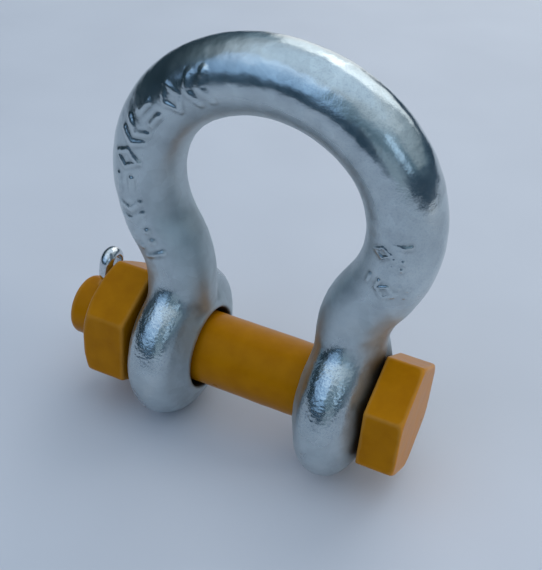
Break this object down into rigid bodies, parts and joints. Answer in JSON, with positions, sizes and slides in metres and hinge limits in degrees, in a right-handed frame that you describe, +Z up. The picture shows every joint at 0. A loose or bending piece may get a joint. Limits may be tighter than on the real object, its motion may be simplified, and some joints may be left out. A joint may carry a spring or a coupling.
{
  "type": "bow shackle",
  "caption": "Bow shackle: a round forged bow whose eyed ears are closed by a hex-head bolt, held by its nut and a split cotter pin.",
  "frame": {"origin": "on the bore axis of the ears, midway between the ears' inner faces", "axes": "+X along the bolt towards its head, +Z up the middle of the bow, Y across the bow"},
  "size_m": [0.1095, 0.0478, 0.1233],
  "materials": {
    "galvanised": "hot-dip galvanised forging, satin with spangle and small runs",
    "paint": "amber yellow paint, semi-gloss, over zinc",
    "bright_zinc": "bright zinc-plated wire"
  },
  "bodies": {
    "bow": {"bow": "galvanised"},
    "bolt": {"bolt": "paint"},
    "nut": {"nut": "paint"},
    "cotter": {"cotter_pin": "bright_zinc"}
  },
  "joints": [
    {"name": "bolt_spin", "type": "hinge", "parent": "bow", "child": "bolt", "pos_m": [0, 0, 0], "axis": [1, 0, 0], "continuous": true},
    {"name": "nut_turn", "type": "hinge", "parent": "bolt", "child": "nut", "pos_m": [0, 0, 0], "axis": [-1, 0, 0], "range_deg": [0, 40]},
    {"name": "cotter_pull", "type": "slide", "parent": "bolt", "child": "cotter", "axis": [0, 0.225, 0.9744], "range_m": [0, 0.032]}
  ]
}
